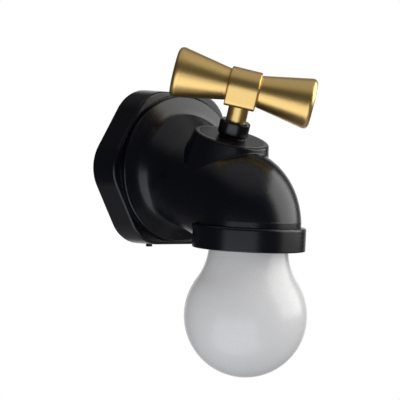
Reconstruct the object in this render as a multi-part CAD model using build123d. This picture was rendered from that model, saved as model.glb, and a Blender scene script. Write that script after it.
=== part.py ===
from build123d import *
from math import asin, cos, degrees, pi, radians, sin, sqrt, tan
import os

# A tap-shaped rechargeable wall light. Millimetres, +Z up. The wall is the plane Y = 0, the light
# stands out from it along -Y, and X runs to the right seen from the front.
# The origin is the centre of the hexagonal wall plate's back face.

# ---------------------------------------------------------------- driving dimensions
# tap body: flange, flared neck, sloping pipe, elbow, spout stub
flange_r = 28.25
flange_step = 1.9          # height of the flange's rim above the plate's face
flange_edge_r = 0.5
shoulder_rise = 1.9        # from the flange's rim to the foot of the neck
neck_root_r = 22.2
neck_run = 11.0
neck_sink = 0.4            # how far the neck's foot starts inside the shoulder
pipe_r = 19.2
pipe_wall = 2.2
pipe_slope = 13.6          # degrees below the horizontal
root_drop = 1.7            # the pipe's axis below the plate's centre
bend_r = 9.8
spout_reach = 55.3         # wall to the spout's axis
spigot_h = 2.0             # ring behind the flange that centres it in the plate
spigot_wall = 1.6
spigot_gap = 0.1
flange_screw_angles = [30, 150, 270]
flange_screw_bite = 2.2    # how deep the screws go into the flange

# hexagonal wall plate
plate_margin = 2.02        # from the flange's rim to the middle of each side, at the wall
plate_corner_r = 15.4
plate_depth = 12.4
plate_draft = 2.3          # degrees
plate_wall = 2.0
plate_face = 2.2           # thickness of the front face
plate_edge_r = 0.9
groove_w = 0.6             # shadow gap round the tap's flange
groove_deep = 0.5

# lid that closes the plate from the wall side
lid_thick = 2.6
lid_gap = 0.15
lid_screw_inset = 8.88     # from the plate's corner, along the radius
lid_screw_angles = [60, 120, -50, -130]
lid_screw_len = 5.2
boss_r = 2.6
boss_floor = 1.0           # left below the screw holes of the lid's bosses

# steel disc that stays on the wall, and the magnets that hold the light to it
disc_r = 20.0
disc_thick = 1.0
disc_chamfer = 0.3
tape_thick = 0.6
tape_inset = 1.0
disc_gap = 0.3
magnet_r = 4.0
magnet_thick = 1.5
magnet_x = 11.0
magnet_z = 9.0
collar_wall = 1.0          # ring moulded round each magnet
magnet_gap = 0.1

# retaining ring and the globe that it holds
ring_proud = 1.95          # ring's radius over the pipe's
ring_top = -19.2
ring_h = 8.7
ring_lip = 1.3
ring_edge_r = 0.9
ring_foot_r = 0.3
ring_space = 0.35          # room cut into the pipe's underside round the ring
stub_step = 1.4            # pipe's radius over the threaded stub's
stub_wall = 2.8
thread_gap = 0.1
globe_r = 23.0
globe_z = -52.9
globe_wall = 1.4
globe_neck_r = 14.8
globe_neck_straight = 0.3  # straight neck below the ring's lip
globe_flange_h = 1.4
globe_flange_gap = 0.4
lip_gap = 0.75
gasket_thick = 0.8
gasket_in = 0.4            # gasket's inner edge outside the lamp board's bore

# lamp board in the spout
lamp_board_thick = 1.2
lamp_board_gap = 0.2
ledge_w = 2.8
ledge_drop = 0.4           # ledge's top below the ring's top
ledge_thick = 1.8
small_screw_r = 0.7
small_head_r = 1.2
small_head_h = 0.9
small_screw_bite = 1.3
led_size = 3.0
led_h = 0.8
led_count = 6
led_circle_r = 7.6

# bonnet and valve axis
valve_tilt = 16.4          # degrees forward of the vertical
valve_along = 23.24        # along the pipe's axis from its root
bonnet_r = 14.4
bonnet_h = 21.5            # above the pipe's axis
bonnet_draft = 12.5        # degrees
bonnet_edge_r = 0.8
bonnet_foot_r = 0.5         # rounded inner corner where the bonnet meets the pipe
bonnet_root_h = 7.0        # where the bonnet's cone starts, inside the pipe
bonnet_rim = 2.0
bonnet_cap_thick = 2.0
cap_gap = 0.1

# rotary switch below the bonnet
switch_r = 10.0
switch_wall = 1.0
switch_top = 1.2
switch_h = 9.4
switch_gap = 0.3
switch_floor_thick = 1.4
rotor_r = 6.6
rotor_thick = 3.0
rotor_drop = 1.6           # room between the rotor and the switch's top
bush_r = 4.4
bush_up = 3.6              # bush above the gland's washer
running_gap = 0.06
shaft_r = 2.6
shaft_flat = 0.7           # depth of the flat on the shaft's end
shaft_tail = 0.6           # shaft's end below the rotor
quarter_turn = 90.0
stop_w = 2.4
stop_depth = 1.2           # how far the stops stand in from the case's wall
stop_root = 0.3            # how far they are sunk into it
stop_clear = 1.5           # degrees left at each end of the handle's turn
lug_gap = 0.3
lug_root = 1.0
lug_angle = -90.0
terminal_size = (1.0, 0.5, 4.0)
terminal_pitch = 4.0
terminal_in = 0.2          # how far the terminals stand inside the switch's floor
leaf_thick = 0.3
leaf_w = 2.2
leaf_half_angle = 42.0
leaf_nose_r = 0.7
leaf_gap = 0.15

# gland nut
gland_r = 5.8
gland_h = 5.9
gland_edge_r = 1.2
gland_top_edge = 0.4
bush_head_gap = 0.3        # free height over the bush inside the nut
washer_r = 5.1
washer_thick = 0.5

# handle
handle_h = 40.8            # bar's axis above the pipe's axis
rest_turn = -43.5          # degrees of the bar from parallel with the wall
stem_r = 3.86
stem_gap = 0.06
stem_edge = 0.3
stem_foot_gap = 0.4
stem_head_gap = 0.6        # between the stem's end and the bar
hub_r = 7.1
hub_half = 5.85
hub_drop = 7.0
hub_corner_r = 1.8
hub_edge_r = 0.5
bar_r = 2.5
bar_half = 15.0
bar_gap = 0.05
bar_end_gap = 0.5
grip_in_r = 6.05
grip_out_r = 10.0
grip_end = 26.8            # hub's centre to the grip's outer face
grip_edge_r = 2.0
grip_in_edge_r = 0.4

# parts inside the plate
board_edge_gap = 0.8       # control board to the plate's inner walls
board_high = -10.8
board_thick = 1.2
board_stand = 1.7          # height of the bosses under the control board
board_screw_angles = [-37, -143]
board_notch_gap = 0.6      # cut out round the lid's bosses
# on the back of the board: x, z, then width, height and thickness of each part
board_part_list = [(-6.0, -14.2, 4.0, 4.0, 0.9), (6.4, -14.6, 4.9, 3.9, 1.5), (0.4, -17.0, 4.0, 4.0, 2.0),
                   (-11.2, -14.0, 2.0, 1.25, 0.9), (11.6, -16.6, 3.2, 1.6, 1.0), (-0.2, -12.6, 3.2, 1.6, 1.0)]
socket_x = 3.6
socket_w = 8.94
socket_t = 3.26
socket_len = 7.35
socket_in = 0.6            # how far its mouth sits inside the plate's bottom edge
socket_wall = 0.35
socket_back = 1.2
socket_gap = 0.2
tongue_t = 0.7
tongue_in = 0.8
slider_x = -7.8
slider_body = (8.5, 3.4, 3.8)
slider_inset = 1.3         # from the plate's wall
slider_floor = 0.5
slider_room_h = 1.8
knob_w = 2.0
knob_t = 1.5
knob_out = 0.8
knob_travel = 1.2
knob_gap = 0.3
knob_shoulder = 0.8
knob_shoulder_h = 1.5
knob_lift = 0.1            # clearance under the knob's shoulder
knob_groove = 0.3
cell_round = 1.8
cell_edge_r = 0.9
foam_thick = 0.7
foam_gap = 0.1
foam_inset = 4.4
tray_thick = 1.2
tray_lip = 1.0
tray_lip_h = 1.6
tray_gap = 0.2
tray_floor_inset = 6.5     # width of the tray's floor round its window
tray_screw_gap = 0.9       # to the heads of the flange screws
tray_boss_gap = 0.3        # to the lid's upper bosses
tray_board_gap = 4.7       # to the control board
tray_ear_r = 2.7
tray_ear_gap = 0.3         # to the plate's wall
tray_screw_bite = 1.3
lead_r = 0.8
lead_x = 4.2

# screws
screw_shank_r = 0.9
screw_head_r = 1.7
screw_head_h = 1.3
screw_dome = 0.5
screw_gap = 0.25
pilot_gap = 0.05
pilot_spare = 0.2          # pilot hole deeper than its screw

# ---------------------------------------------------------------- derived places
plate_half = flange_r + plate_margin
plate_reach = plate_half / cos(pi / 6)
plate_floor = -plate_half
draft_in = tan(radians(plate_draft)) * plate_depth      # how far the front face is drawn in
neck_bore_r = neck_root_r - pipe_wall
spigot_r = neck_bore_r + spigot_wall
hole_r = spigot_r + spigot_gap
flange_screw_at = (hole_r + flange_r) / 2
root_y = -(plate_depth + flange_step)
slope = radians(pipe_slope)
pipe_dir = Vector(0, -cos(slope), -sin(slope))
pipe_up = Vector(0, -sin(slope), cos(slope))
pipe_root = Vector(0, root_y, -root_drop)
bend_y = -(spout_reach - bend_r)
straight_run = (-bend_y + root_y + bend_r * sin(slope)) / cos(slope)
bend_z = (pipe_root + pipe_dir * straight_run - pipe_up * bend_r).Z
tilt = radians(valve_tilt)
valve_dir = Vector(0, -sin(tilt), cos(tilt))
valve_foot = pipe_root + pipe_dir * valve_along
bonnet_cap_r = bonnet_r - bonnet_rim - cap_gap
spout_axis_y = -spout_reach
stub_r = pipe_r - stub_step
stub_h = ring_h - ring_lip - globe_flange_h - gasket_thick
ring_r = pipe_r + ring_proud
ring_bottom = ring_top - ring_h
stub_end = ring_top - stub_h
lip_top = ring_bottom + ring_lip
gasket_bottom = lip_top + globe_flange_h
globe_flange_r = stub_r + thread_gap - globe_flange_gap
lamp_bore_r = stub_r - stub_wall
lamp_board_r = lamp_bore_r - lamp_board_gap
ledge_bore_r = lamp_bore_r - ledge_w
lamp_screw_at = lamp_bore_r - ledge_w / 2
ledge_top = ring_top - ledge_drop
lamp_top = ledge_top - ledge_thick
lamp_bottom = lamp_top - lamp_board_thick
face_y = -plate_depth + plate_face      # inner side of the plate's front face
lid_y = -lid_thick
board_front = face_y + board_stand
board_back = board_front + board_thick
recess_deep = disc_thick + tape_thick
turn_back = -rest_turn                  # from rest to the handle parallel with the wall
turn_out = quarter_turn - turn_back     # from rest to the handle square to the wall


def wall_plane(y):
    """Plane parallel with the wall at this Y; local x, y are X, Z and its normal points off the wall."""
    return Plane(origin=(0, y, 0), x_dir=(1, 0, 0), z_dir=(0, -1, 0))


def toward_wall(y):
    """Plane at this Y whose normal points to the wall; local x, y are X and -Z."""
    return Plane(origin=(0, y, 0), x_dir=(1, 0, 0), z_dir=(0, 1, 0))


def level(z, y=0.0):
    """Horizontal plane at height z with its origin at this Y."""
    return Plane(origin=(0, y, z), x_dir=(1, 0, 0), z_dir=(0, 0, 1))


def valve_plane(h):
    """Plane square to the valve's axis, h above the pipe's axis; local y points to the wall."""
    return Plane(origin=valve_foot + valve_dir * h, x_dir=(1, 0, 0), z_dir=valve_dir)


def disc(plane, r, thick, x=0.0, y=0.0):
    """Solid disc that stands on a plane and rises along its normal."""
    return plane * (Pos(x, y, thick / 2) * Cylinder(r, thick))


def tube(plane, r_out, r_in, thick, x=0.0, y=0.0):
    """Flat ring or sleeve on a plane."""
    return disc(plane, r_out, thick, x, y) - disc(plane, r_in, thick, x, y)


def block(plane, x, y, wide, tall, thick, round_r=0.0):
    """Slab centred on x, y that stands on a plane, with rounded corners if asked."""
    outline = RectangleRounded(wide, tall, round_r) if round_r else Rectangle(wide, tall)
    return plane * extrude(Pos(x, y) * outline, thick)


def screw(plane, x, y, reach):
    """Pan-head screw: the head stands on the plane and the shank goes reach deep below it."""
    head = fillet(Cylinder(screw_head_r, screw_head_h).edges().group_by(Axis.Z)[-1], screw_dome)
    shank = Cylinder(screw_shank_r, reach)
    return plane * (Pos(x, y, screw_head_h / 2) * head + Pos(x, y, -reach / 2) * shank)


def ring_places(r, angles):
    """Points on a circle, as x, y pairs."""
    return [(r * cos(radians(a)), r * sin(radians(a))) for a in angles]


def save(name, shape):
    """Write one node; a list becomes a group of separate solids."""
    if isinstance(shape, list):
        shape = Compound(children=[s for part in shape for s in part.solids()])
    export_step(shape, f"parts/{name}.step")


os.makedirs("parts", exist_ok=True)


# ---------------------------------------------------------------- hexagonal plate
lid_screw_places = ring_places(plate_reach - lid_screw_inset, lid_screw_angles)
board_screw_places = ring_places((hole_r + plate_half - plate_wall) / 2, board_screw_angles)
flange_screw_places = ring_places(flange_screw_at, flange_screw_angles)
tray_half = flange_screw_at * cos(pi / 6) - screw_head_r - tray_screw_gap
tray_top = (plate_reach - lid_screw_inset) * sin(pi / 3) - boss_r - tray_boss_gap
tray_bottom = board_high + tray_board_gap
tray_z = (tray_top + tray_bottom) / 2
inner_corner = (plate_half - plate_wall - draft_in) / cos(pi / 6)
tray_ear_x = inner_corner - abs(tray_z) * tan(pi / 6) - (tray_ear_r + tray_ear_gap) / cos(pi / 6)
socket_bottom = plate_floor + socket_in
socket_y = board_back + socket_t / 2
slider_wide, slider_thick, slider_tall = slider_body
slider_y = board_back + slider_thick / 2
slot_w = knob_w + 2 * (knob_travel + knob_gap)
slot_t = knob_t + 2 * knob_gap


def hex_outline(inset, y):
    """Rounded hexagon at depth y, drawn in by the wall inset and by the draft."""
    drawn_in = inset + tan(radians(plate_draft)) * -y
    reach = plate_reach - drawn_in / cos(pi / 6)
    outline = RegularPolygon(reach, 6, major_radius=True)
    return wall_plane(y) * fillet(outline.vertices(), plate_corner_r - drawn_in)


def hex_block(inset, y_back, y_front):
    """Drafted hexagonal block between two depths."""
    return loft([hex_outline(inset, y_back), hex_outline(inset, y_front)], ruled=True)


def make_plate():
    """Moulded hexagonal shell, open to the wall, with its bosses and the slots in its bottom edge."""
    shell = hex_block(0, 0, -plate_depth)
    front = shell.faces().sort_by(Axis.Y)[0]
    shell = fillet(front.edges(), plate_edge_r)
    shell -= hex_block(plate_wall, 0, face_y)
    face = wall_plane(face_y)
    lid_seat = wall_plane(lid_y)
    board_seat = wall_plane(board_front)
    shell -= disc(face, hole_r, plate_face)
    groove = wall_plane(-plate_depth + groove_deep)
    shell -= tube(groove, flange_r + groove_w, flange_r, groove_deep)
    bosses = Part()
    for x, z in lid_screw_places:
        bosses += disc(lid_seat, boss_r, lid_y - face_y, x, z)
    for x, z in board_screw_places:
        bosses += disc(board_seat, boss_r, board_stand, x, z)
    shell += bosses & hex_block(plate_wall / 2, lid_y, face_y)
    for x, z in lid_screw_places:
        shell -= disc(lid_seat, screw_shank_r + pilot_gap, lid_y - face_y - boss_floor, x, z)
    for x, z in board_screw_places:
        shell -= disc(board_seat, screw_shank_r + pilot_gap, board_stand + pilot_spare, x, z)
    for x, z in flange_screw_places:
        shell -= disc(face, screw_shank_r + screw_gap, plate_face, x, z)
    for x in (-tray_ear_x, tray_ear_x):
        shell -= disc(face, screw_shank_r + pilot_gap, tray_screw_bite + pilot_spare, x, tray_z)
    below = level(plate_floor - plate_wall)
    shell -= block(below, socket_x, socket_y, socket_w + 2 * socket_gap, socket_t + 2 * socket_gap,
                   3 * plate_wall, socket_t / 2)
    return shell - block(below, slider_x, slider_y, slot_w, slot_t, 3 * plate_wall)


save("hex_plate", make_plate())


# ---------------------------------------------------------------- lid, magnets, wall disc
magnet_places = [(sx * magnet_x, sz * magnet_z) for sx in (-1, 1) for sz in (-1, 1)]


def make_lid():
    """Lid with the shallow recess for the wall disc, four sunk screw holes and magnet collars inside."""
    lid = hex_block(plate_wall + lid_gap, 0, lid_y)
    lid -= disc(wall_plane(0), disc_r + disc_gap, recess_deep)
    for x, z in magnet_places:
        lid += tube(wall_plane(lid_y), magnet_r + magnet_gap + collar_wall, magnet_r + magnet_gap,
                    magnet_thick, x, z)
    for x, z in lid_screw_places:
        lid -= disc(wall_plane(0), screw_head_r + screw_gap, screw_head_h, x, z)
        lid -= disc(wall_plane(0), screw_shank_r + screw_gap, lid_thick, x, z)
    return lid


save("back_lid", make_lid())
save("lid_screws", [screw(toward_wall(-screw_head_h), x, -z, lid_screw_len) for x, z in lid_screw_places])
save("magnets", [disc(wall_plane(lid_y), magnet_r, magnet_thick, x, z) for x, z in magnet_places])
wall_disc = disc(wall_plane(-tape_thick), disc_r, disc_thick)
save("wall_disc", chamfer(wall_disc.edges().group_by(Axis.Y)[0], disc_chamfer))
save("adhesive_pad", disc(wall_plane(0), disc_r - tape_inset, tape_thick))


# ---------------------------------------------------------------- tap body
def pipe_plane(s):
    """Plane square to the sloping pipe, s along its axis from the root."""
    return Plane(origin=pipe_root + pipe_dir * s, x_dir=(1, 0, 0), z_dir=pipe_dir)


def neck_section(u, inset):
    """Section of the flared neck: u = 0 on the flange, u = 1 where the straight pipe starts."""
    r = pipe_r + (neck_root_r - pipe_r) * (1 - u) ** 2 - inset
    start = Vector(0, root_y - shoulder_rise + neck_sink, 0)
    end = pipe_root + pipe_dir * neck_run
    lean = slope * u
    middle = start + (end - start) * u
    return Plane(origin=middle, x_dir=(1, 0, 0), z_dir=(0, -cos(lean), -sin(lean))) * Circle(r)


def elbow(r):
    """Turn from the pipe to the spout. The bend is tighter than the pipe, so only the section outside
    the bend's axis is turned, and the inner side is the mitre of the two straight pipes."""
    outside = (Pos(0, bend_y - bend_r) * Circle(r)) & (Pos(0, bend_y - 2 * r) * Rectangle(4 * r, 4 * r))
    return revolve(level(bend_z) * outside, Axis((0, bend_y, bend_z), (1, 0, 0)), pipe_slope - 90)


def tap_form(inset):
    """The tap's outer form drawn in by inset: neck, sloping pipe and elbow."""
    neck = loft([neck_section(u, inset) for u in (0, 0.3, 0.65, 1)])
    pipe = extrude(pipe_plane(neck_run) * Circle(pipe_r - inset), straight_run - neck_run)
    return neck + pipe + elbow(pipe_r - inset)


def spout_block(z_low, z_high, r):
    """Round block on the spout's axis between two heights."""
    return disc(level(z_low, spout_axis_y), r, z_high - z_low)


def bonnet_blank():
    """Drafted round boss for the valve."""
    height = bonnet_h - bonnet_root_h
    root_r = bonnet_r + height * tan(radians(bonnet_draft))
    boss = Pos(0, 0, height / 2) * Cone(root_r, bonnet_r, height)
    return valve_plane(bonnet_root_h) * fillet(boss.edges().group_by(Axis.Z)[-1], bonnet_edge_r)


def at_bonnet_foot(edge):
    """True for the curved edges where the bonnet's cone comes out of the pipe."""
    if edge.geom_type == GeomType.LINE:
        return False
    for u in (0.1, 0.5, 0.9):
        away = edge.position_at(u) - valve_foot
        h = away.dot(valve_dir)
        cone_r = bonnet_r + (bonnet_h - h) * tan(radians(bonnet_draft))
        if h > bonnet_h - bonnet_edge_r or abs((away - valve_dir * h).length - cone_r) > 0.01:
            return False
    return True


def make_tap_body():
    """One hollow moulding from the wall flange to the threaded stub under the spout."""
    body = tap_form(0) + bonnet_blank()
    body = fillet(body.edges().filter_by(at_bonnet_foot), bonnet_foot_r)
    flange = wall_plane(-plate_depth) * extrude(Circle(flange_r), flange_step)
    body += fillet(flange.edges().sort_by(Axis.Y)[0], flange_edge_r)
    shoulder = Cone(flange_r - flange_edge_r, neck_root_r, shoulder_rise)
    body += wall_plane(root_y) * (Pos(0, 0, shoulder_rise / 2) * shoulder)
    # the ring's room under the spout, then the stub inside it
    top = max(bend_z, ring_top) + pipe_wall
    body += spout_block(min(bend_z, ring_top), top, pipe_r)
    body -= spout_block(ring_top - 2 * ring_h, ring_top, ring_r + ring_space)
    body += spout_block(stub_end, ring_top, stub_r)
    # spigot and cavity; the floor over the ring's room keeps its full wall
    spigot_y = -plate_depth + spigot_h
    body += disc(wall_plane(spigot_y), spigot_r, spigot_h)
    bore_len = spigot_y - root_y + shoulder_rise - neck_sink
    cavity = disc(wall_plane(spigot_y), neck_bore_r, bore_len) + tap_form(pipe_wall)
    body -= cavity - spout_block(ring_top - 2 * ring_h, ring_top + pipe_wall, ring_r + ring_space + pipe_wall)
    body -= spout_block(ledge_top, top + pipe_wall, pipe_r - pipe_wall)
    body -= spout_block(stub_end, ledge_top - ledge_thick, lamp_bore_r)
    body -= spout_block(stub_end, ledge_top, ledge_bore_r)
    # valve opening
    body -= disc(valve_plane(bonnet_root_h), switch_r + switch_gap, bonnet_h - bonnet_root_h)
    body -= disc(valve_plane(bonnet_h - bonnet_cap_thick), bonnet_cap_r + cap_gap, 2 * bonnet_cap_thick)
    # pilot holes
    for x, z in flange_screw_places:
        body -= disc(wall_plane(-plate_depth), screw_shank_r + pilot_gap, flange_screw_bite + pilot_spare, x, z)
    for sx in (-1, 1):
        body -= disc(level(lamp_top, spout_axis_y), small_screw_r + pilot_gap, small_screw_bite + pilot_spare,
                     sx * lamp_screw_at)
    return body


tap_body = make_tap_body()
print("tap_body solids", len(tap_body.solids()), "volume", round(tap_body.volume))
save("tap_body", tap_body)
save("flange_screws", [screw(toward_wall(face_y), x, -z, plate_face + flange_screw_bite)
                       for x, z in flange_screw_places])


# ---------------------------------------------------------------- control board and what it carries
def make_control_board():
    """Board that follows the lower half of the plate, notched round the lid's bosses."""
    back = wall_plane(board_back)
    board = hex_block(plate_wall + board_edge_gap, board_back, board_front)
    board &= block(back, 0, board_high - plate_reach / 2, 2 * plate_reach, plate_reach, board_thick)
    for x, z in lid_screw_places:
        board -= disc(back, boss_r + board_notch_gap, board_thick, x, z)
    for x, z in board_screw_places:
        board -= disc(back, screw_shank_r + screw_gap, board_thick, x, z)
    return board


save("control_board", make_control_board())
save("board_screws", [screw(toward_wall(board_back), x, -z, board_thick + board_stand)
                      for x, z in board_screw_places])
save("board_parts", [toward_wall(board_back) * (Pos(x, -z, thick / 2) * Box(wide, tall, thick))
                     for x, z, wide, tall, thick in board_part_list])


def make_charge_socket():
    """Flat obround metal shell with its tongue, open downwards."""
    mouth = level(socket_bottom)
    inner_w = socket_w - 2 * socket_wall
    inner_t = socket_t - 2 * socket_wall
    shell = block(mouth, socket_x, socket_y, socket_w, socket_t, socket_len, socket_t * 0.49)
    shell -= block(mouth, socket_x, socket_y, inner_w, inner_t, socket_len - socket_back, inner_t * 0.49)
    return shell + block(level(socket_bottom + tongue_in), socket_x, socket_y, inner_w - 2 * tongue_in, tongue_t,
                         socket_len - socket_back)


save("charge_socket", make_charge_socket())

slider_z = plate_floor + plate_wall + slider_inset


def make_slider():
    """Body of the slide switch, with the slot that its knob moves in."""
    body = block(level(slider_z), slider_x, slider_y, slider_wide, slider_thick, slider_tall)
    body -= block(level(slider_z + slider_floor), slider_x, slider_y, slot_w + 2 * knob_shoulder, slot_t,
                  slider_room_h)
    return body - block(level(slider_z), slider_x, slider_y, slot_w, slot_t, slider_floor)


def make_knob():
    """Knob with the shoulder that keeps it in the switch and two grooves in its tip."""
    low = plate_floor - knob_out
    seat = slider_z + slider_floor + knob_lift
    knob = block(level(low), slider_x, slider_y, knob_w, knob_t, seat - low + knob_shoulder_h / 2)
    for sx in (-1, 1):
        knob -= block(level(low), slider_x + sx * knob_w / 4, slider_y, knob_groove, knob_t, knob_groove)
    return knob + block(level(seat), slider_x, slider_y, knob_w + 2 * knob_shoulder, knob_t, knob_shoulder_h)


save("slide_switch", make_slider())
save("slide_knob", make_knob())

# ---------------------------------------------------------------- battery
tray_y = face_y + tray_thick
cell_w = 2 * (tray_half - tray_lip - tray_gap)
cell_h = tray_top - tray_bottom - 2 * (tray_lip + tray_gap)
foam_front = lid_y - magnet_thick - foam_gap
cell_back = foam_front - foam_thick
cell_t = cell_back - tray_y


def make_tray():
    """Bridge across the tap's mouth that carries the cell: a floor, low walls and two screw ears."""
    floor = wall_plane(tray_y)
    lip = wall_plane(tray_y + tray_lip_h)
    wide = 2 * tray_half
    tall = tray_top - tray_bottom
    tray = block(lip, 0, tray_z, wide, tall, tray_lip_h + tray_thick, cell_round + tray_lip)
    tray -= block(lip, 0, tray_z, cell_w + 2 * tray_gap, cell_h + 2 * tray_gap, tray_lip_h, cell_round)
    for side in (-1, 1):
        ear_w = tray_ear_x - tray_half + tray_lip
        tray += disc(floor, tray_ear_r, tray_thick, side * tray_ear_x, tray_z)
        tray += block(floor, side * (tray_ear_x - ear_w / 2), tray_z, ear_w, 2 * tray_ear_r, tray_thick)
        tray -= disc(floor, screw_shank_r + screw_gap, tray_thick, side * tray_ear_x, tray_z)
    return tray - block(floor, 0, tray_z, cell_w - 2 * tray_floor_inset, cell_h - 2 * tray_floor_inset,
                        tray_thick, cell_round)


save("battery_tray", make_tray())
save("tray_screws", [screw(toward_wall(tray_y), x, -tray_z, tray_thick + tray_screw_bite)
                     for x in (-tray_ear_x, tray_ear_x)])
cell = block(wall_plane(cell_back), 0, tray_z, cell_w, cell_h, cell_t, cell_round)
save("battery_cell", fillet(cell.edges().group_by(Axis.Y)[-1] + cell.edges().group_by(Axis.Y)[0], cell_edge_r))
save("battery_foam", block(wall_plane(foam_front), 0, tray_z, cell_w - 2 * foam_inset, cell_h - 2 * foam_inset,
                           foam_thick))


# ---------------------------------------------------------------- lamp board, globe and retaining ring
def make_lamp_board():
    """Round metal-core board with two screw holes."""
    board = disc(level(lamp_bottom, spout_axis_y), lamp_board_r, lamp_board_thick)
    for sx in (-1, 1):
        board -= disc(level(lamp_bottom, spout_axis_y), small_screw_r + screw_gap, lamp_board_thick,
                      sx * lamp_screw_at)
    return board


under_lamp = Plane(origin=(0, spout_axis_y, lamp_bottom), x_dir=(1, 0, 0), z_dir=(0, 0, -1))
save("lamp_board", make_lamp_board())
led_places = [(0, 0)] + ring_places(led_circle_r, [i * 360 / led_count for i in range(led_count)])
save("leds", [under_lamp * (Pos(x, y, led_h / 2) * Box(led_size, led_size, led_h)) for x, y in led_places])


def make_small_screw(sx):
    """Small screw that holds the lamp board to the ledge."""
    head = disc(under_lamp, small_head_r, small_head_h, sx * lamp_screw_at)
    return head + disc(level(lamp_bottom, spout_axis_y), small_screw_r, lamp_board_thick + small_screw_bite,
                       sx * lamp_screw_at)


save("lamp_board_screws", [make_small_screw(sx) for sx in (-1, 1)])


def globe_profile(inset, top, flange):
    """Half section of the bulb-shaped globe: sphere, concave shoulder, short straight neck, flange.
    The shoulder is the arc that touches the sphere and runs into the neck just below the ring's lip."""
    ball = globe_r - inset
    neck = globe_neck_r - inset
    rise = lip_top - globe_neck_straight - globe_z
    blend = (rise ** 2 - globe_r ** 2 + globe_neck_r ** 2) / (2 * (globe_r - globe_neck_r)) + inset
    lean = asin(rise / (ball + blend))
    touch = (ball * cos(lean), globe_z + ball * sin(lean))
    on_blend = (neck + blend - blend * cos(lean / 2), globe_z + rise - blend * sin(lean / 2))
    on_ball = (ball * cos(lean / 2 - pi / 4), globe_z + ball * sin(lean / 2 - pi / 4))
    neck_foot = (neck, globe_z + rise)
    bottom = (0, globe_z - ball)
    corners = [(neck, lip_top), (globe_flange_r, lip_top), (globe_flange_r, top)] if flange else [(neck, top)]
    outline = ThreePointArc(bottom, on_ball, touch) + ThreePointArc(touch, on_blend, neck_foot)
    outline += Polyline(neck_foot, *corners, (0, top), bottom)
    return Plane(origin=(0, spout_axis_y, 0), x_dir=(1, 0, 0), z_dir=(0, -1, 0)) * make_face(outline)


def make_globe():
    """Milky bulb-shaped globe, hollow and open at the top, held by its flange."""
    spout_axis = Axis((0, spout_axis_y, 0), (0, 0, 1))
    outer = revolve(globe_profile(0, gasket_bottom, True), spout_axis)
    return outer - revolve(globe_profile(globe_wall, gasket_bottom, False), spout_axis)


save("globe", make_globe())
save("globe_gasket", tube(level(gasket_bottom, spout_axis_y), globe_flange_r, lamp_bore_r + gasket_in,
                          gasket_thick))


def make_ring():
    """Retaining ring: it grips the stub and traps the globe's flange on its inner lip."""
    ring = spout_block(ring_bottom, ring_top, ring_r)
    ring = fillet(ring.edges().group_by(Axis.Z)[-1], ring_edge_r)
    ring = fillet(ring.edges().group_by(Axis.Z)[0], ring_foot_r)
    ring -= spout_block(ring_bottom, lip_top, globe_neck_r + lip_gap)
    return ring - spout_block(lip_top, ring_top, stub_r + thread_gap)


save("spout_ring", make_ring())

# ---------------------------------------------------------------- bonnet cap, gland and rotary switch
cap_h = bonnet_h - bonnet_cap_thick
gland_low = bonnet_h + washer_thick
save("bonnet_cap", tube(valve_plane(cap_h), bonnet_cap_r, bush_r + cap_gap, bonnet_cap_thick))
save("gland_washer", tube(valve_plane(bonnet_h), washer_r, bush_r + cap_gap, washer_thick))


def make_gland():
    """Round gland nut: bored for the bush below and for the stem above."""
    nut = Cylinder(gland_r, gland_h)
    nut = fillet(nut.edges().group_by(Axis.Z)[0], gland_edge_r)
    nut = chamfer(nut.edges().group_by(Axis.Z)[-1], gland_top_edge)
    nut = valve_plane(gland_low) * (Pos(0, 0, gland_h / 2) * nut)
    nut -= disc(valve_plane(gland_low), bush_r + thread_gap, bush_up + bush_head_gap)
    return nut - disc(valve_plane(gland_low), stem_r + stem_gap, gland_h)


save("gland_nut", make_gland())

switch_low_h = cap_h - switch_h
bush_h = bonnet_cap_thick + washer_thick + bush_up
rotor_top_h = cap_h - switch_top - rotor_drop
rotor_low_h = rotor_top_h - rotor_thick
inner_r = switch_r - switch_wall
lug_r = inner_r - lug_gap


def bar(plane, angle, r_in, r_out, wide, thick):
    """Radial block at an angle about the plane's normal."""
    length = r_out - r_in
    return plane * (Rot(0, 0, angle) * (Pos(r_in + length / 2, 0, thick / 2) * Box(length, wide, thick)))


def make_switch_case():
    """Cup with a threaded bush on top and two inner stops that limit the turn."""
    case = disc(valve_plane(switch_low_h), switch_r, switch_h)
    case -= disc(valve_plane(switch_low_h), inner_r, switch_h - switch_top)
    case += disc(valve_plane(cap_h), bush_r, bush_h)
    half_lug = degrees(asin(stop_w / 2 / lug_r))
    for turn, way in ((turn_back, 1), (-turn_out, -1)):
        angle = lug_angle + turn + way * (2 * half_lug + stop_clear)
        case += bar(valve_plane(rotor_low_h), angle, inner_r - stop_depth, inner_r + stop_root, stop_w,
                    rotor_thick)
    return case - disc(valve_plane(switch_low_h), shaft_r + running_gap, switch_h + bush_h)


save("switch_case", make_switch_case())

terminal_w, terminal_t, terminal_long = terminal_size
terminal_xs = (-terminal_pitch, 0, terminal_pitch)
terminal_low = switch_low_h + switch_floor_thick + terminal_in - terminal_long


def make_switch_floor():
    """Plate that closes the switch from below, slotted for its terminals."""
    floor = disc(valve_plane(switch_low_h), inner_r - cap_gap, switch_floor_thick)
    for x in terminal_xs:
        floor -= block(valve_plane(switch_low_h), x, 0, terminal_w + cap_gap, terminal_t + cap_gap,
                       switch_floor_thick)
    return floor


save("switch_floor", make_switch_floor())
save("switch_terminals", [block(valve_plane(terminal_low), x, 0, *terminal_size) for x in terminal_xs])


def shaft_end(r, low, high):
    """Shaft stretch with a flat on its wall side, which drives the rotor."""
    shaft = disc(valve_plane(low), r, high - low)
    return shaft - block(valve_plane(low), 0, r + shaft_r - shaft_flat, 4 * r, 2 * r, high - low)


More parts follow.
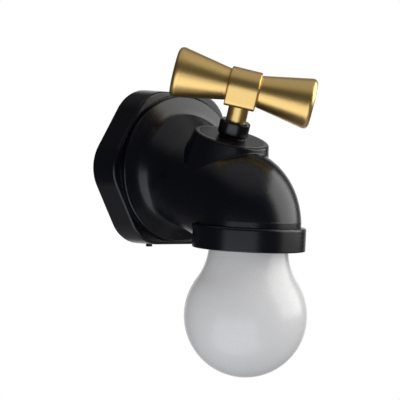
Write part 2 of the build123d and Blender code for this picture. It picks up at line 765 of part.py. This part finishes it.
def make_rotor():
    """Rotor with the lug that meets the stops and a click notch for each end of the turn."""
    plane = valve_plane(rotor_low_h)
    rotor = disc(plane, rotor_r, rotor_thick)
    rotor += bar(plane, lug_angle, rotor_r - lug_root, lug_r, stop_w, rotor_thick)
    for x, y in ring_places(rotor_r + leaf_nose_r / 2, [90 - turn_back, 90 + turn_out]):
        rotor -= disc(plane, leaf_nose_r, rotor_thick, x, y)
    return rotor - shaft_end(shaft_r + bar_gap, rotor_low_h, rotor_top_h)


save("switch_rotor", make_rotor())


def make_leaf():
    """Bowed spring strip between the rotor and the case, with the rounded nose that clicks."""
    left, right = ring_places(inner_r - running_gap, [90 + leaf_half_angle, 90 - leaf_half_angle])
    nose_y = rotor_r + leaf_gap + leaf_nose_r
    outer = ThreePointArc(right, (0, nose_y + leaf_thick), left)
    inner = ThreePointArc((left[0], left[1] - leaf_thick), (0, nose_y), (right[0], right[1] - leaf_thick))
    strip = make_face(outer + Line(left, inner @ 0) + inner + Line(inner @ 1, right))
    strip += Pos(0, nose_y) * Circle(leaf_nose_r)
    return valve_plane(rotor_low_h + (rotor_thick - leaf_w) / 2) * extrude(strip, leaf_w)


save("click_spring", make_leaf())

# ---------------------------------------------------------------- stem and handle
stem_top = handle_h - bar_r - stem_head_gap
stem_low = cap_h + bush_h + stem_foot_gap


def make_stem():
    """Turned stem: a thick gold upper part and a thin shaft down into the switch."""
    stem = disc(valve_plane(stem_low), stem_r, stem_top - stem_low)
    stem = chamfer(stem.edges().group_by(Axis.Z)[-1], stem_edge)
    stem += disc(valve_plane(rotor_top_h), shaft_r, stem_low - rotor_top_h)
    return stem + shaft_end(shaft_r, rotor_low_h - shaft_tail, rotor_top_h)


save("stem", make_stem())

across = Vector(1, 0, 0)
bar_dir = across * cos(radians(rest_turn)) + valve_dir.cross(across) * sin(radians(rest_turn))
handle = Plane(origin=valve_foot + valve_dir * handle_h, x_dir=bar_dir, z_dir=valve_dir)


def make_hub():
    """Block with an arched top and flat sides, bored across for the bar and from below for the stem."""
    arch = Circle(hub_r) + Pos(0, -hub_drop / 2) * Rectangle(2 * hub_r, hub_drop)
    arch &= Pos(0, (hub_r - hub_drop) / 2) * Rectangle(2 * hub_r, hub_r + hub_drop)
    section = fillet(arch.vertices().group_by(Axis.Y)[0], hub_corner_r)
    side = Plane(origin=(-hub_half, 0, 0), x_dir=(0, 1, 0), z_dir=(1, 0, 0))
    hub = extrude(side * section, 2 * hub_half)
    hub = fillet(hub.edges().group_by(Axis.X)[0] + hub.edges().group_by(Axis.X)[-1], hub_edge_r)
    hub -= Rot(0, 90, 0) * Cylinder(bar_r + bar_gap, 2 * hub_half)
    stem_hole = stem_top - (handle_h - hub_drop) + pilot_spare
    return handle * (hub - Pos(0, 0, -hub_drop) * Cylinder(stem_r + bar_gap, 2 * stem_hole))


save("handle_hub", make_hub())
save("handle_bar", handle * (Rot(0, 90, 0) * Cylinder(bar_r, 2 * bar_half)))


def make_grip(side):
    """Cone-shaped grip with rounded ends, bored to screw onto the bar."""
    outline = Polyline((hub_half, 0), (hub_half, grip_in_r), (grip_end, grip_out_r), (grip_end, 0), (hub_half, 0))
    cone = revolve(make_face(outline), Axis.X)
    cone = fillet(cone.edges().group_by(Axis.X)[-1], grip_edge_r)
    cone = fillet(cone.edges().group_by(Axis.X)[0], grip_in_edge_r)
    depth = bar_half + bar_end_gap - hub_half
    cone -= Pos(hub_half + depth / 2, 0, 0) * (Rot(0, 90, 0) * Cylinder(bar_r + bar_gap, depth))
    return handle * (Rot(0, 0, 0 if side > 0 else 180) * cone)


save("grip_left", make_grip(-1))
save("grip_right", make_grip(1))


# ---------------------------------------------------------------- leads inside the housing
def lead(points):
    """Round lead along straight runs joined by tangent arcs, each as large as its runs allow."""
    spots = [Vector(*p) for p in points]
    runs = [b - a for a, b in zip(spots, spots[1:])]
    bends = [0.45 * min(a.length, b.length) / tan(radians(a.get_angle(b) / 2)) for a, b in zip(runs, runs[1:])]
    print("lead bends", [round(r, 1) for r in bends])
    path = FilletPolyline(*points, radius=bends)
    return sweep(Plane(origin=spots[0], z_dir=runs[0]) * Circle(lead_r), path=path)


lamp_lead = [(lead_x, board_front, -14), (lead_x, board_front - 16, -14), (lead_x, bend_y + 3.5, -11),
             (lead_x, spout_axis_y + 2.5, -13.4), (lead_x, spout_axis_y + 2.5, lamp_top)]
save("lamp_lead", lead(lamp_lead))
terminal_end = valve_foot + valve_dir * terminal_low
under_switch = terminal_end - valve_dir * 9
switch_lead = [(-terminal_pitch, board_front, -13), (-terminal_pitch, board_front - 13.5, -13),
               (-terminal_pitch, under_switch.Y, under_switch.Z),
               (-terminal_pitch, terminal_end.Y, terminal_end.Z)]
save("switch_lead", lead(switch_lead))
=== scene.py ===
from math import cos, radians, sin

import bpy
import numpy as np
from mathutils import Matrix, Vector


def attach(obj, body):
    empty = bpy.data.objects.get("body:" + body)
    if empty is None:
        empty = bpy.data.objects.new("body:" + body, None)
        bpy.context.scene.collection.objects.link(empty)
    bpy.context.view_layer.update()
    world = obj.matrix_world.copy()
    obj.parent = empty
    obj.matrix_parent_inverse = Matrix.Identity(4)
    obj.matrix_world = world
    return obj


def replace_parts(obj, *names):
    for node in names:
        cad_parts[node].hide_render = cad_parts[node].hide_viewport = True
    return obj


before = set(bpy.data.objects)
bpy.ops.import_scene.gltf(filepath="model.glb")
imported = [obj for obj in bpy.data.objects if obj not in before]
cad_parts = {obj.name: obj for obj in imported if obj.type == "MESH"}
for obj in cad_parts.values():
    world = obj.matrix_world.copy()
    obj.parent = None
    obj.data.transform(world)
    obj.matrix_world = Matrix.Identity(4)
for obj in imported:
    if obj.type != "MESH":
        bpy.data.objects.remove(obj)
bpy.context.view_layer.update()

# ------------------------------------------------------------------ camera
# The eye stands to the left of the light, a little above the middle of it, and looks through a
# long lens that leans by a few degrees. Angles are round the wall's normal and above the horizon.
eye_azimuth = radians(-40.28)
eye_elevation = radians(2.283)
eye_roll = radians(2.638)
eye_distance = 0.60833
eye_lens = 142.95                   # millimetres
nearest_seen = 0.01
look_at = Vector((-0.00333, -0.030, -0.01126))

toward_eye = Vector((sin(eye_azimuth) * cos(eye_elevation), -cos(eye_azimuth) * cos(eye_elevation),
                     sin(eye_elevation)))
level_right = Vector((cos(eye_azimuth), sin(eye_azimuth), 0))
level_up = toward_eye.cross(level_right)
eye_right = cos(eye_roll) * level_right + sin(eye_roll) * level_up
eye_up = cos(eye_roll) * level_up - sin(eye_roll) * level_right
camera = bpy.data.objects.new("camera", bpy.data.cameras.new("camera"))
camera.data.lens = eye_lens
camera.data.clip_start = nearest_seen
camera.matrix_world = (Matrix.Translation(look_at + toward_eye * eye_distance)
                       @ Matrix((eye_right, eye_up, toward_eye)).transposed().to_4x4())
bpy.context.scene.collection.objects.link(camera)
bpy.context.scene.camera = camera

# ------------------------------------------------------------------ studio
# A pale floor well below the wall light, a white backdrop that the eye sees all round it and that
# glossy faces see behind it, and two soft boxes: one low at the front left, one at the right.
bpy.context.scene.view_settings.view_transform = "Standard"
floor_z = -0.75
floor_r = 1.2
floor_sides = 96
floor_grey = 0.26
floor_roughness = 0.9
floor_sheen = 0.1
floor_glow = 0.72                   # added for the eye alone, so that the floor looks pale
backdrop_dir = Vector((0.645, 0.763, -0.02))
backdrop_spread = (0.81, 0.97)      # cosines where the backdrop starts and is whole
ceiling_spread = (0.55, 0.92)       # sines of the elevations where the ceiling starts and is whole
room_for_diffuse = 0.68             # light that matt surfaces get from all round
room_for_gloss = 0.045              # what glossy surfaces see of the dark room
ceiling_for_gloss = 0.42
box_power = 4                       # watts per square metre that make a soft box show a radiance of 1


def soft_box(name, azimuth, elevation, distance, wide, tall, radiance, colour):
    """Rectangle that faces the origin from a direction in degrees, with the radiance that it shows."""
    light = bpy.data.lights.new(name, "AREA")
    light.shape = "RECTANGLE"
    light.size = wide
    light.size_y = tall
    light.energy = radiance * box_power * wide * tall
    light.color = colour
    a, e = radians(azimuth), radians(elevation)
    away = Vector((sin(a) * cos(e), -cos(a) * cos(e), sin(e)))
    box = bpy.data.objects.new(name, light)
    facing = away.to_track_quat("Z", "Y").to_matrix().to_4x4()
    box.matrix_world = Matrix.Translation(away * distance) @ facing
    bpy.context.scene.collection.objects.link(box)


soft_box("soft_box_left", -57, -37, 0.62, 0.92, 0.80, 1.0, (0.95, 0.98, 1.03))
soft_box("soft_box_right", 54, 24, 0.80, 0.95, 0.80, 2.3, (1.0, 0.99, 0.97))


def math_node(tree, kind, first, second):
    """Math node fed by sockets or numbers; gives its output socket."""
    node = tree.nodes.new("ShaderNodeMath")
    node.operation = kind
    for socket, value in zip(node.inputs, (first, second)):
        if isinstance(value, (int, float)):
            socket.default_value = value
        else:
            tree.links.new(value, socket)
    return node.outputs[0]


world = bpy.data.worlds.new("studio")
bpy.context.scene.world = world
world.use_nodes = True
sky = world.node_tree
sky.nodes.clear()
rays = sky.nodes.new("ShaderNodeLightPath").outputs
way = sky.nodes.new("ShaderNodeTexCoord").outputs["Generated"]


def sky_patch(middle, spread, level):
    """Part of the room round a direction, which fades from nothing to its level over two cosines."""
    facing = sky.nodes.new("ShaderNodeVectorMath")
    facing.operation = "DOT_PRODUCT"
    facing.inputs[1].default_value = middle.normalized()
    sky.links.new(way, facing.inputs[0])
    fade = sky.nodes.new("ShaderNodeMapRange")
    fade.interpolation_type = "SMOOTHSTEP"
    fade.inputs["From Min"].default_value, fade.inputs["From Max"].default_value = spread
    fade.inputs["To Max"].default_value = level
    sky.links.new(facing.outputs["Value"], fade.inputs["Value"])
    return fade.outputs[0]


backdrop = sky_patch(backdrop_dir, backdrop_spread, 1.0)
ceiling = sky_patch(Vector((0, 0, 1)), ceiling_spread, ceiling_for_gloss)
room = math_node(sky, "MAXIMUM", math_node(sky, "MAXIMUM", backdrop, ceiling), room_for_gloss)
gloss_sees = math_node(sky, "MULTIPLY", rays["Is Glossy Ray"], room)
diffuse_sees = math_node(sky, "MULTIPLY", rays["Is Diffuse Ray"], room_for_diffuse)
eye_sees = math_node(sky, "MAXIMUM", rays["Is Camera Ray"], rays["Is Transmission Ray"])
back = sky.nodes.new("ShaderNodeBackground")
back.inputs["Color"].default_value = (1, 1, 1, 1)
sky.links.new(math_node(sky, "MAXIMUM", math_node(sky, "MAXIMUM", eye_sees, gloss_sees), diffuse_sees),
              back.inputs["Strength"])
sky.links.new(back.outputs[0], sky.nodes.new("ShaderNodeOutputWorld").inputs["Surface"])

floor_angle = np.linspace(0, 2 * np.pi, floor_sides, endpoint=False)
floor_rim = np.stack([floor_r * np.cos(floor_angle), floor_r * np.sin(floor_angle),
                      np.full(floor_sides, floor_z)], 1)
floor_mesh = bpy.data.meshes.new("floor")
floor_mesh.from_pydata(floor_rim.tolist(), [], [range(floor_sides)])
floor = bpy.data.objects.new("floor", floor_mesh)
bpy.context.scene.collection.objects.link(floor)
pale = bpy.data.materials.new("pale_floor")
pale.use_nodes = True
paint = pale.node_tree.nodes["Principled BSDF"].inputs
paint["Base Color"].default_value = (floor_grey, floor_grey, floor_grey, 1)
paint["Roughness"].default_value = floor_roughness
paint["Specular IOR Level"].default_value = floor_sheen
paint["Emission Color"].default_value = (1, 1, 1, 1)
floor_rays = pale.node_tree.nodes.new("ShaderNodeLightPath").outputs
pale.node_tree.links.new(math_node(pale.node_tree, "MULTIPLY", floor_rays["Is Camera Ray"], floor_glow),
                         paint["Emission Strength"])
floor_mesh.materials.append(pale)

# ------------------------------------------------------------------ tap body and hexagonal plate
# Two black ABS mouldings. The tool was spark-eroded to a fine even grain and then lightly polished,
# so the skin is satin, with soft patches where it has been handled.
abs_black = (0.0012, 0.0015, 0.0038)
abs_roughness = 0.27
abs_shine = 0.45
body_edge = 0.0004


def noise(tree, where, size, detail=3.0):
    """Noise of a grain size in metres, read at a position socket; gives its factor."""
    node = tree.nodes.new("ShaderNodeTexNoise")
    node.inputs["Scale"].default_value = 1 / size
    node.inputs["Detail"].default_value = detail
    tree.links.new(where, node.inputs["Vector"])
    return node.outputs["Fac"]


def ramp(tree, factor, low, high):
    """Maps a factor from 0..1 to low..high, without running past either."""
    node = tree.nodes.new("ShaderNodeMapRange")
    node.inputs["To Min"].default_value = low
    node.inputs["To Max"].default_value = high
    tree.links.new(factor, node.inputs["Value"])
    return node.outputs[0]


def tint(tree, factor, first, second):
    """Mixes two colours by a factor."""
    node = tree.nodes.new("ShaderNodeMix")
    node.data_type = "RGBA"
    node.inputs["A"].default_value = (*first, 1)
    node.inputs["B"].default_value = (*second, 1)
    tree.links.new(factor, node.inputs["Factor"])
    return node.outputs["Result"]


def finish(name, colour, roughness, patch=0.012, shift=0.10, spread=0.05, grain=0.0003, relief=0.000003,
           draw=(1, 1, 1), metallic=0.0, edge=0.0, **sockets):
    """A finish in real sizes: soft patches drift its colour and roughness, and a fine grain stands in relief.
    Where draw is below 1 the grain is drawn out along that axis, as brushing or rolling leaves it. Where
    edge is given, light falls on the corners as if they were worn to that radius."""
    patch_detail = 5
    patch_share = 0.6
    edge_rays = 6
    material = bpy.data.materials.new(name)
    material.use_nodes = True
    tree = material.node_tree
    shader = tree.nodes["Principled BSDF"]
    shader.inputs["Metallic"].default_value = metallic
    for socket, value in sockets.items():
        shader.inputs[socket.replace("_", " ")].default_value = value
    place = tree.nodes.new("ShaderNodeTexCoord").outputs["Object"]
    drawn = tree.nodes.new("ShaderNodeMapping")
    drawn.inputs["Scale"].default_value = draw
    tree.links.new(place, drawn.inputs["Vector"])
    patches = noise(tree, place, patch, patch_detail)
    fine = noise(tree, drawn.outputs[0], grain)
    low, high = (tuple(min(1.0, c * (1 + side * shift)) for c in colour) for side in (-1, 1))
    tree.links.new(tint(tree, patches, low, high), shader.inputs["Base Color"])
    both = math_node(tree, "ADD", math_node(tree, "MULTIPLY", patches, patch_share),
                     math_node(tree, "MULTIPLY", fine, 1 - patch_share))
    tree.links.new(ramp(tree, both, roughness - spread, roughness + spread), shader.inputs["Roughness"])
    skin = tree.nodes.new("ShaderNodeBump")
    skin.inputs["Distance"].default_value = relief
    tree.links.new(fine, skin.inputs["Height"])
    if edge:
        worn = tree.nodes.new("ShaderNodeBevel")
        worn.samples = edge_rays
        worn.inputs["Radius"].default_value = edge
        tree.links.new(worn.outputs[0], skin.inputs["Normal"])
    tree.links.new(skin.outputs[0], shader.inputs["Normal"])
    return material


def dress(material, *names):
    """Gives CAD nodes this finish, through their own material slots."""
    for name in names:
        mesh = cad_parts[name].data
        mesh.materials.clear()
        mesh.materials.append(material)


satin_black = finish("satin_black_abs", abs_black, abs_roughness, edge=body_edge,
                     Specular_IOR_Level=abs_shine)
dress(satin_black, "hex_plate", "tap_body")

# ------------------------------------------------------------------ moulded corner at the neck
# Where the sloping neck runs out into the flange's conical shoulder the moulding has a soft hollow
# corner, wider at the sides than at the top. It is part of the tap body and in the same ABS.
flange_y = -0.0143                  # front of the flange's rim
shoulder_r = 0.02775                # cone's radius at the rim
shoulder_rise = 0.0019
neck_r = 0.0222                     # cone's radius at its top, and the neck's at its foot
neck_sink = 0.0004                  # how far the neck's foot starts inside the cone
neck_run = 0.011
pipe_r = 0.0192
pipe_slope = radians(13.6)
root_drop = 0.0017                  # pipe's axis below the plate's centre
corner_r = 0.0240                   # where the corner leaves the cone, at the top
corner_wider = 0.0012               # more than that at the sides
corner_u = 0.48                     # where it meets the neck, as a share of the flare
corner_off_cone = 0.50              # how long it hugs the cone and the neck, as shares of its width
corner_onto_neck = 0.38
corner_lift = 0.00003               # how far it stands over the skins that it joins
corner_deep = 0.0008                # how far its hidden side lies inside them
corner_turns = 144                  # faces round and across
corner_steps = 28

pipe_dir = np.array((0, -cos(pipe_slope), -sin(pipe_slope)))
pipe_root = np.array((0, flange_y, -root_drop))
neck_foot = np.array((0, flange_y - shoulder_rise + neck_sink, 0))
neck_end = pipe_root + neck_run * pipe_dir


def neck_point(u, angle, out):
    """Points of the flared neck: u runs from its foot to the straight pipe, and each section is a circle
    of radius pipe_r + (neck_r - pipe_r) (1 - u)^2 + out whose plane leans with the slope."""
    lean = pipe_slope * u
    middle = neck_foot + (neck_end - neck_foot) * u[..., None]
    r = pipe_r + (neck_r - pipe_r) * (1 - u) ** 2 + out
    up = np.stack([0 * lean, -np.sin(lean), np.cos(lean)], -1)
    side = np.array((1.0, 0, 0))
    return middle + r[..., None] * (np.cos(angle)[..., None] * side + np.sin(angle)[..., None] * up)


def cone_point(r, angle, out):
    """Points of the flange's shoulder cone at radius r, lifted by out along the wall's normal."""
    rise = shoulder_rise * (shoulder_r - r) / (shoulder_r - neck_r)
    return np.stack([r * np.cos(angle), flange_y - rise - out, r * np.sin(angle)], -1)


def ring_mesh(name, grid, material, body, sharp=40):
    """Closed ring from a grid of points whose rows and columns both run round. Faces point outwards where
    the rows turn right-handed about an axis and each row goes up outside and comes down inside."""
    rows, columns = grid.shape[:2]
    i, j = np.meshgrid(np.arange(rows), np.arange(columns), indexing="ij")
    row, next_row = i * columns, (i + 1) % rows * columns
    next_j = (j + 1) % columns
    faces = np.stack([row + j, next_row + j, next_row + next_j, row + next_j], -1)
    mesh = bpy.data.meshes.new(name)
    mesh.from_pydata(grid.reshape(-1, 3).tolist(), [], faces.reshape(-1, 4).tolist())
    mesh.shade_smooth()
    mesh.set_sharp_from_angle(angle=radians(sharp))
    mesh.materials.append(material)
    piece = bpy.data.objects.new(name, mesh)
    bpy.context.scene.collection.objects.link(piece)
    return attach(piece, body)


def neck_corner():
    """Each profile is the cubic curve that leaves the cone along the cone and joins the neck along the
    neck; a straight hidden side closes it inside the moulding."""
    angle, t = np.meshgrid(np.linspace(0, 2 * np.pi, corner_turns, endpoint=False),
                           np.linspace(0, 1, corner_steps + 1), indexing="ij")
    r = corner_r + corner_wider * np.cos(angle) ** 2
    u = np.full_like(angle, corner_u)
    start = cone_point(r, angle, corner_lift)
    end = neck_point(u, angle, corner_lift)
    step_r = 0.0001
    step_u = 0.01
    leave = cone_point(r - step_r, angle, corner_lift) - start
    arrive = end - neck_point(u - step_u, angle, corner_lift)
    leave /= np.linalg.norm(leave, axis=-1, keepdims=True)
    arrive /= np.linalg.norm(arrive, axis=-1, keepdims=True)
    reach = np.linalg.norm(end - start, axis=-1, keepdims=True)
    t = t[..., None]
    curve = ((1 - t) ** 3 * start + 3 * t * (1 - t) ** 2 * (start + corner_off_cone * reach * leave)
             + 3 * t ** 2 * (1 - t) * (end - corner_onto_neck * reach * arrive) + t ** 3 * end)
    under_neck = neck_point(u, angle, -corner_deep)[:, :1]
    under_foot = neck_point(0 * u, angle, -corner_deep)[:, :1]
    under_cone = cone_point(r, angle, -corner_deep)[:, :1]
    return np.concatenate([curve, under_neck, under_foot, under_cone], 1)


corner_black = finish("satin_black_corner", abs_black, abs_roughness, Specular_IOR_Level=abs_shine)
ring_mesh("neck_corner", neck_corner(), corner_black, "housing")

# ------------------------------------------------------------------ screws
# Small pan-head screws, cold-headed and thread-rolled in steel and zinc-plated. They hold the flange
# to the plate, both boards and the tray to their seats, and the lid to the plate.
zinc = finish("zinc_plate", (0.56, 0.57, 0.58), 0.32, patch=0.002, shift=0.12, spread=0.10, grain=0.00015,
              relief=0.000002, metallic=1.0)
dress(zinc, "flange_screws", "board_screws", "tray_screws", "lid_screws", "lamp_board_screws")

# ------------------------------------------------------------------ control board and its parts
# Glass-fibre board with green solder mask over its copper, black epoxy packages on its back, a
# drawn steel charging socket and a slide switch with a nylon body and a black knob.
solder_mask = finish("green_solder_mask", (0.016, 0.11, 0.045), 0.28, patch=0.004, shift=0.25, grain=0.0004,
                     relief=0.000004, draw=(1, 1, 0.15))
dress(solder_mask, "control_board")
chip_epoxy = finish("chip_epoxy", (0.018, 0.018, 0.019), 0.55, patch=0.001, grain=0.00008, relief=0.000003)
dress(chip_epoxy, "board_parts")
socket_steel = finish("drawn_steel", (0.60, 0.60, 0.60), 0.22, patch=0.003, shift=0.06, grain=0.0002,
                      relief=0.000002, draw=(1, 1, 0.1), metallic=1.0)
dress(socket_steel, "charge_socket")
switch_nylon = finish("switch_nylon", (0.022, 0.022, 0.024), 0.42, patch=0.003, grain=0.0002)
dress(switch_nylon, "slide_switch")
dress(satin_black, "slide_knob")

# ------------------------------------------------------------------ battery in its tray
# A lithium cell in heat-sealed aluminium laminate, laid in a dark ABS tray that bridges the tap's
# mouth, with a strip of grey foam that takes up the play under the lid.
tray_abs = finish("tray_abs", (0.035, 0.036, 0.038), 0.45, patch=0.008, grain=0.0004)
dress(tray_abs, "battery_tray")
cell_foil = finish("cell_laminate", (0.72, 0.73, 0.75), 0.30, patch=0.005, shift=0.05, spread=0.08,
                   grain=0.0012, relief=0.00003, draw=(1, 1, 0.4), metallic=1.0)
dress(cell_foil, "battery_cell")
grey_foam = finish("grey_foam", (0.13, 0.13, 0.14), 0.9, patch=0.002, shift=0.2, grain=0.0003, relief=0.00006)
dress(grey_foam, "battery_foam")

# ------------------------------------------------------------------ leads
# Two PVC-covered leads run from the control board down the pipe: the red one to the lamp board in
# the spout, the white one to the switch under the bonnet.
red_lead = finish("red_pvc", (0.42, 0.022, 0.018), 0.38, patch=0.003, shift=0.15, grain=0.0003)
dress(red_lead, "lamp_lead")
white_lead = finish("white_pvc", (0.70, 0.69, 0.66), 0.38, patch=0.003, shift=0.04, grain=0.0003)
dress(white_lead, "switch_lead")

# ------------------------------------------------------------------ lamp board and its LEDs
# Round aluminium-core board with white solder mask, screwed to the ledge in the spout and soldered
# with seven LEDs under yellow phosphor.
white_mask = finish("white_solder_mask", (0.80, 0.80, 0.78), 0.33, patch=0.004, shift=0.04, grain=0.0003)
dress(white_mask, "lamp_board")
phosphor = finish("led_phosphor", (0.78, 0.60, 0.16), 0.40, patch=0.0012, shift=0.12, grain=0.0001)
dress(phosphor, "leds")

# ------------------------------------------------------------------ globe, gasket and retaining ring
# The bulb is blow-moulded in milky polycarbonate with a faint gloss. Its flange lies on a silicone
# gasket and is trapped by the black ring that screws onto the tap's stub.
opal = finish("opal_polycarbonate", (0.535, 0.533, 0.537), 0.27, patch=0.02, shift=0.012, spread=0.03,
              grain=0.0004, relief=0.000002, Specular_IOR_Level=0.6)
dress(opal, "globe")
silicone = finish("clear_silicone", (0.55, 0.55, 0.53), 0.45, patch=0.004, shift=0.06, grain=0.0004)
dress(silicone, "globe_gasket")
dress(satin_black, "spout_ring")

# ------------------------------------------------------------------ rotary switch
# Glass-filled nylon case with a threaded bush, closed from below by a brown paper-laminate floor
# with tinned terminals. Inside turn a white acetal rotor and a spring strip in phosphor bronze.
case_nylon = finish("glass_filled_nylon", (0.045, 0.046, 0.048), 0.48, patch=0.002, shift=0.2, grain=0.00025,
                    relief=0.000006, draw=(1, 1, 0.3))
dress(case_nylon, "switch_case")
paper_laminate = finish("paper_laminate", (0.16, 0.075, 0.032), 0.50, patch=0.003, shift=0.25, grain=0.0004,
                        draw=(0.2, 1, 1))
dress(paper_laminate, "switch_floor")
tinned = finish("tinned_brass", (0.66, 0.65, 0.62), 0.25, patch=0.001, grain=0.0002, metallic=1.0)
dress(tinned, "switch_terminals")
acetal = finish("white_acetal", (0.74, 0.74, 0.72), 0.35, patch=0.004, shift=0.03, grain=0.0003)
dress(acetal, "switch_rotor")
spring_bronze = finish("spring_bronze", (0.55, 0.34, 0.18), 0.26, patch=0.002, grain=0.0002, draw=(0.1, 1, 1),
                       metallic=1.0)
dress(spring_bronze, "click_spring")

# ------------------------------------------------------------------ bonnet cap, washer and gland nut
# The cap closes the bonnet in the body's ABS, from a tool with a coarser grain. The washer and the
# round nut that clamp the switch's bush are turned in nylon and polished to a gloss.
cap_black = finish("satin_black_cap", abs_black, 0.37, edge=0.0005, Specular_IOR_Level=0.40)
dress(cap_black, "bonnet_cap")
gloss_black = finish("gloss_black_nylon", (0.0012, 0.0015, 0.0030), 0.25, spread=0.03, relief=0.000001,
                     edge=0.0006, Specular_IOR_Level=0.55)
dress(gloss_black, "gland_nut", "gland_washer")
valve_tilt = radians(16.4)          # forward of the vertical
valve_along = 0.02324               # along the pipe's axis from its root
gland_rise = 0.0220                 # nut's lower face above the pipe's axis
gland_r = 0.0058
gland_h = 0.0059
gland_foot_round = 0.0012
gland_top_round = 0.0007
gland_bore_r = 0.0045               # bore round the switch's bush
gland_neck_r = 0.00392              # narrower bore round the stem
gland_neck_h = 0.0020
gland_turns = 144                   # faces round the nut
gland_steps = 9                     # and along each of its round edges

valve_axis = np.array((0, -sin(valve_tilt), cos(valve_tilt)))
gland_foot = pipe_root + valve_along * pipe_dir + gland_rise * valve_axis


def gland_nut():
    """Profile of radii and heights turned about the valve's axis: an arc at the foot, the straight side,
    an arc at the top, and the stepped bore. An arc is its middle plus its radius times (cos, sin)."""
    quarter = np.linspace(0, np.pi / 2, gland_steps + 1)
    foot = gland_foot_round * np.stack([np.sin(quarter) - 1, 1 - np.cos(quarter)], 1) + (gland_r, 0)
    top = gland_top_round * np.stack([np.cos(quarter) - 1, np.sin(quarter) - 1], 1) + (gland_r, gland_h)
    bore = [(gland_neck_r, gland_h), (gland_neck_r, gland_h - gland_neck_h),
            (gland_bore_r, gland_h - gland_neck_h), (gland_bore_r, 0)]
    r, h = np.concatenate([foot, top, bore]).T
    angle = np.linspace(0, 2 * np.pi, gland_turns, endpoint=False)[:, None, None]
    aside = np.array((1.0, 0, 0))
    around = np.cos(angle) * aside + np.sin(angle) * np.cross(valve_axis, aside)
    return gland_foot + r[:, None] * around + h[:, None] * valve_axis


turned_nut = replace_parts(ring_mesh("gland_nut_turned", gland_nut(), gloss_black, "housing"), "gland_nut")

# ------------------------------------------------------------------ stem and handle
# Stem, hub and grips are turned and milled in aluminium, blasted fine and anodised in satin gold.
# The bar that joins the grips through the hub is a plain zinc-plated steel rod.
gold = finish("satin_gold", (0.82, 0.515, 0.09), 0.35, patch=0.006, shift=0.05, spread=0.04, grain=0.00018,
              relief=0.000003, metallic=1.0, edge=0.0008, Coat_Weight=1.0, Coat_Roughness=0.33, Coat_IOR=2.2)
dress(gold, "stem", "handle_hub", "grip_left", "grip_right")
dress(zinc, "handle_bar")

# ------------------------------------------------------------------ lid and magnets
# The lid is the plate's own ABS, ribless, with the recess for the wall disc. Four nickel-plated
# magnets sit in its collars.
dress(satin_black, "back_lid")
nickel = finish("nickel_plate", (0.64, 0.63, 0.60), 0.14, patch=0.003, shift=0.03, spread=0.04, grain=0.0005,
                metallic=1.0)
dress(nickel, "magnets")

# ------------------------------------------------------------------ wall disc and its adhesive pad
# A stamped steel disc that stays on the wall on a pad of white acrylic foam tape, and holds the
# magnets of the light.
disc_steel = finish("brushed_steel", (0.55, 0.55, 0.56), 0.30, patch=0.006, shift=0.06, spread=0.08,
                    grain=0.0003, relief=0.000003, draw=(0.04, 1, 1), metallic=1.0)
dress(disc_steel, "wall_disc")
foam_tape = finish("acrylic_foam_tape", (0.66, 0.65, 0.62), 0.75, patch=0.003, shift=0.06, grain=0.0004,
                   relief=0.00003)
dress(foam_tape, "adhesive_pad")
